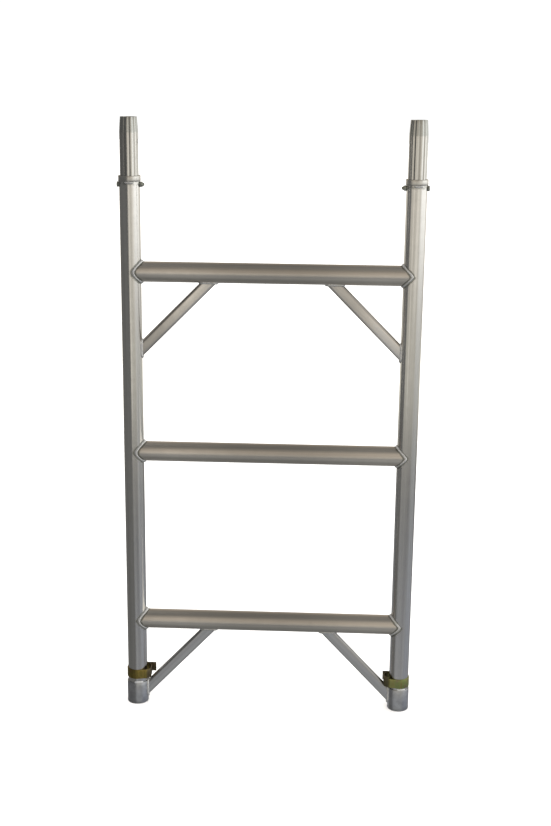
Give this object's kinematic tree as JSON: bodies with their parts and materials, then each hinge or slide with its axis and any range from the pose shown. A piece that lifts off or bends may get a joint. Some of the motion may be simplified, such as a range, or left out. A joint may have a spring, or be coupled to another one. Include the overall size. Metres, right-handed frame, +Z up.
{
  "type": "scaffold end frame",
  "caption": "Aluminium scaffold tower end frame with rungs, corner braces, bolted stacking spigots on top and sprung locking pegs at its feet.",
  "frame": {"origin": "on the floor, midway between the two feet", "axes": "+X across the frame to the right upright, +Y through the frame to its rear, +Z up along the uprights"},
  "size_m": [0.762, 0.056, 1.54],
  "materials": {
    "upright_tube": "mill finish extruded tube, faint draw lines",
    "rung_tube": "mill finish extruded tube, fine lengthwise grain",
    "brace_tube": "mill finish extruded oval tube",
    "spigot": "fluted extrusion, mill finish",
    "collar": "dull, stained beside the weld",
    "sleeve": "dull, scuffed at the lower edge",
    "bolt": "dark zinc-plated steel",
    "spring_band": "yellow chromated zinc, iridescent",
    "peg": "zinc-plated steel"
  },
  "bodies": {
    "frame": {"bottom_rung": "rung_tube", "left_foot_sleeve": "sleeve", "left_spigot": "spigot", "left_spigot_bolt": "bolt", "left_spigot_nut": "bolt", "left_spring_band": "spring_band", "left_top_collar": "collar", "left_upright": "upright_tube", "lower_left_brace": "brace_tube", "lower_right_brace": "brace_tube", "middle_rung": "rung_tube", "right_foot_sleeve": "sleeve", "right_spigot": "spigot", "right_spigot_bolt": "bolt", "right_spigot_nut": "bolt", "right_spring_band": "spring_band", "right_top_collar": "collar", "right_upright": "upright_tube", "top_rung": "rung_tube", "upper_left_brace": "brace_tube", "upper_right_brace": "brace_tube"},
    "left_latch": {"left_locking_peg": "peg"},
    "right_latch": {"right_locking_peg": "peg"}
  },
  "joints": [
    {"name": "left_peg_pull", "type": "slide", "parent": "frame", "child": "left_latch", "axis": [1, 0, 0], "range_m": [0, 0.0045], "stiffness_N_per_m": 2000, "springref_m": -0.001, "deforming": ["left_spring_band"]},
    {"name": "right_peg_pull", "type": "slide", "parent": "frame", "child": "right_latch", "axis": [-1, 0, 0], "range_m": [0, 0.0045], "stiffness_N_per_m": 2000, "springref_m": -0.001, "deforming": ["right_spring_band"]}
  ]
}
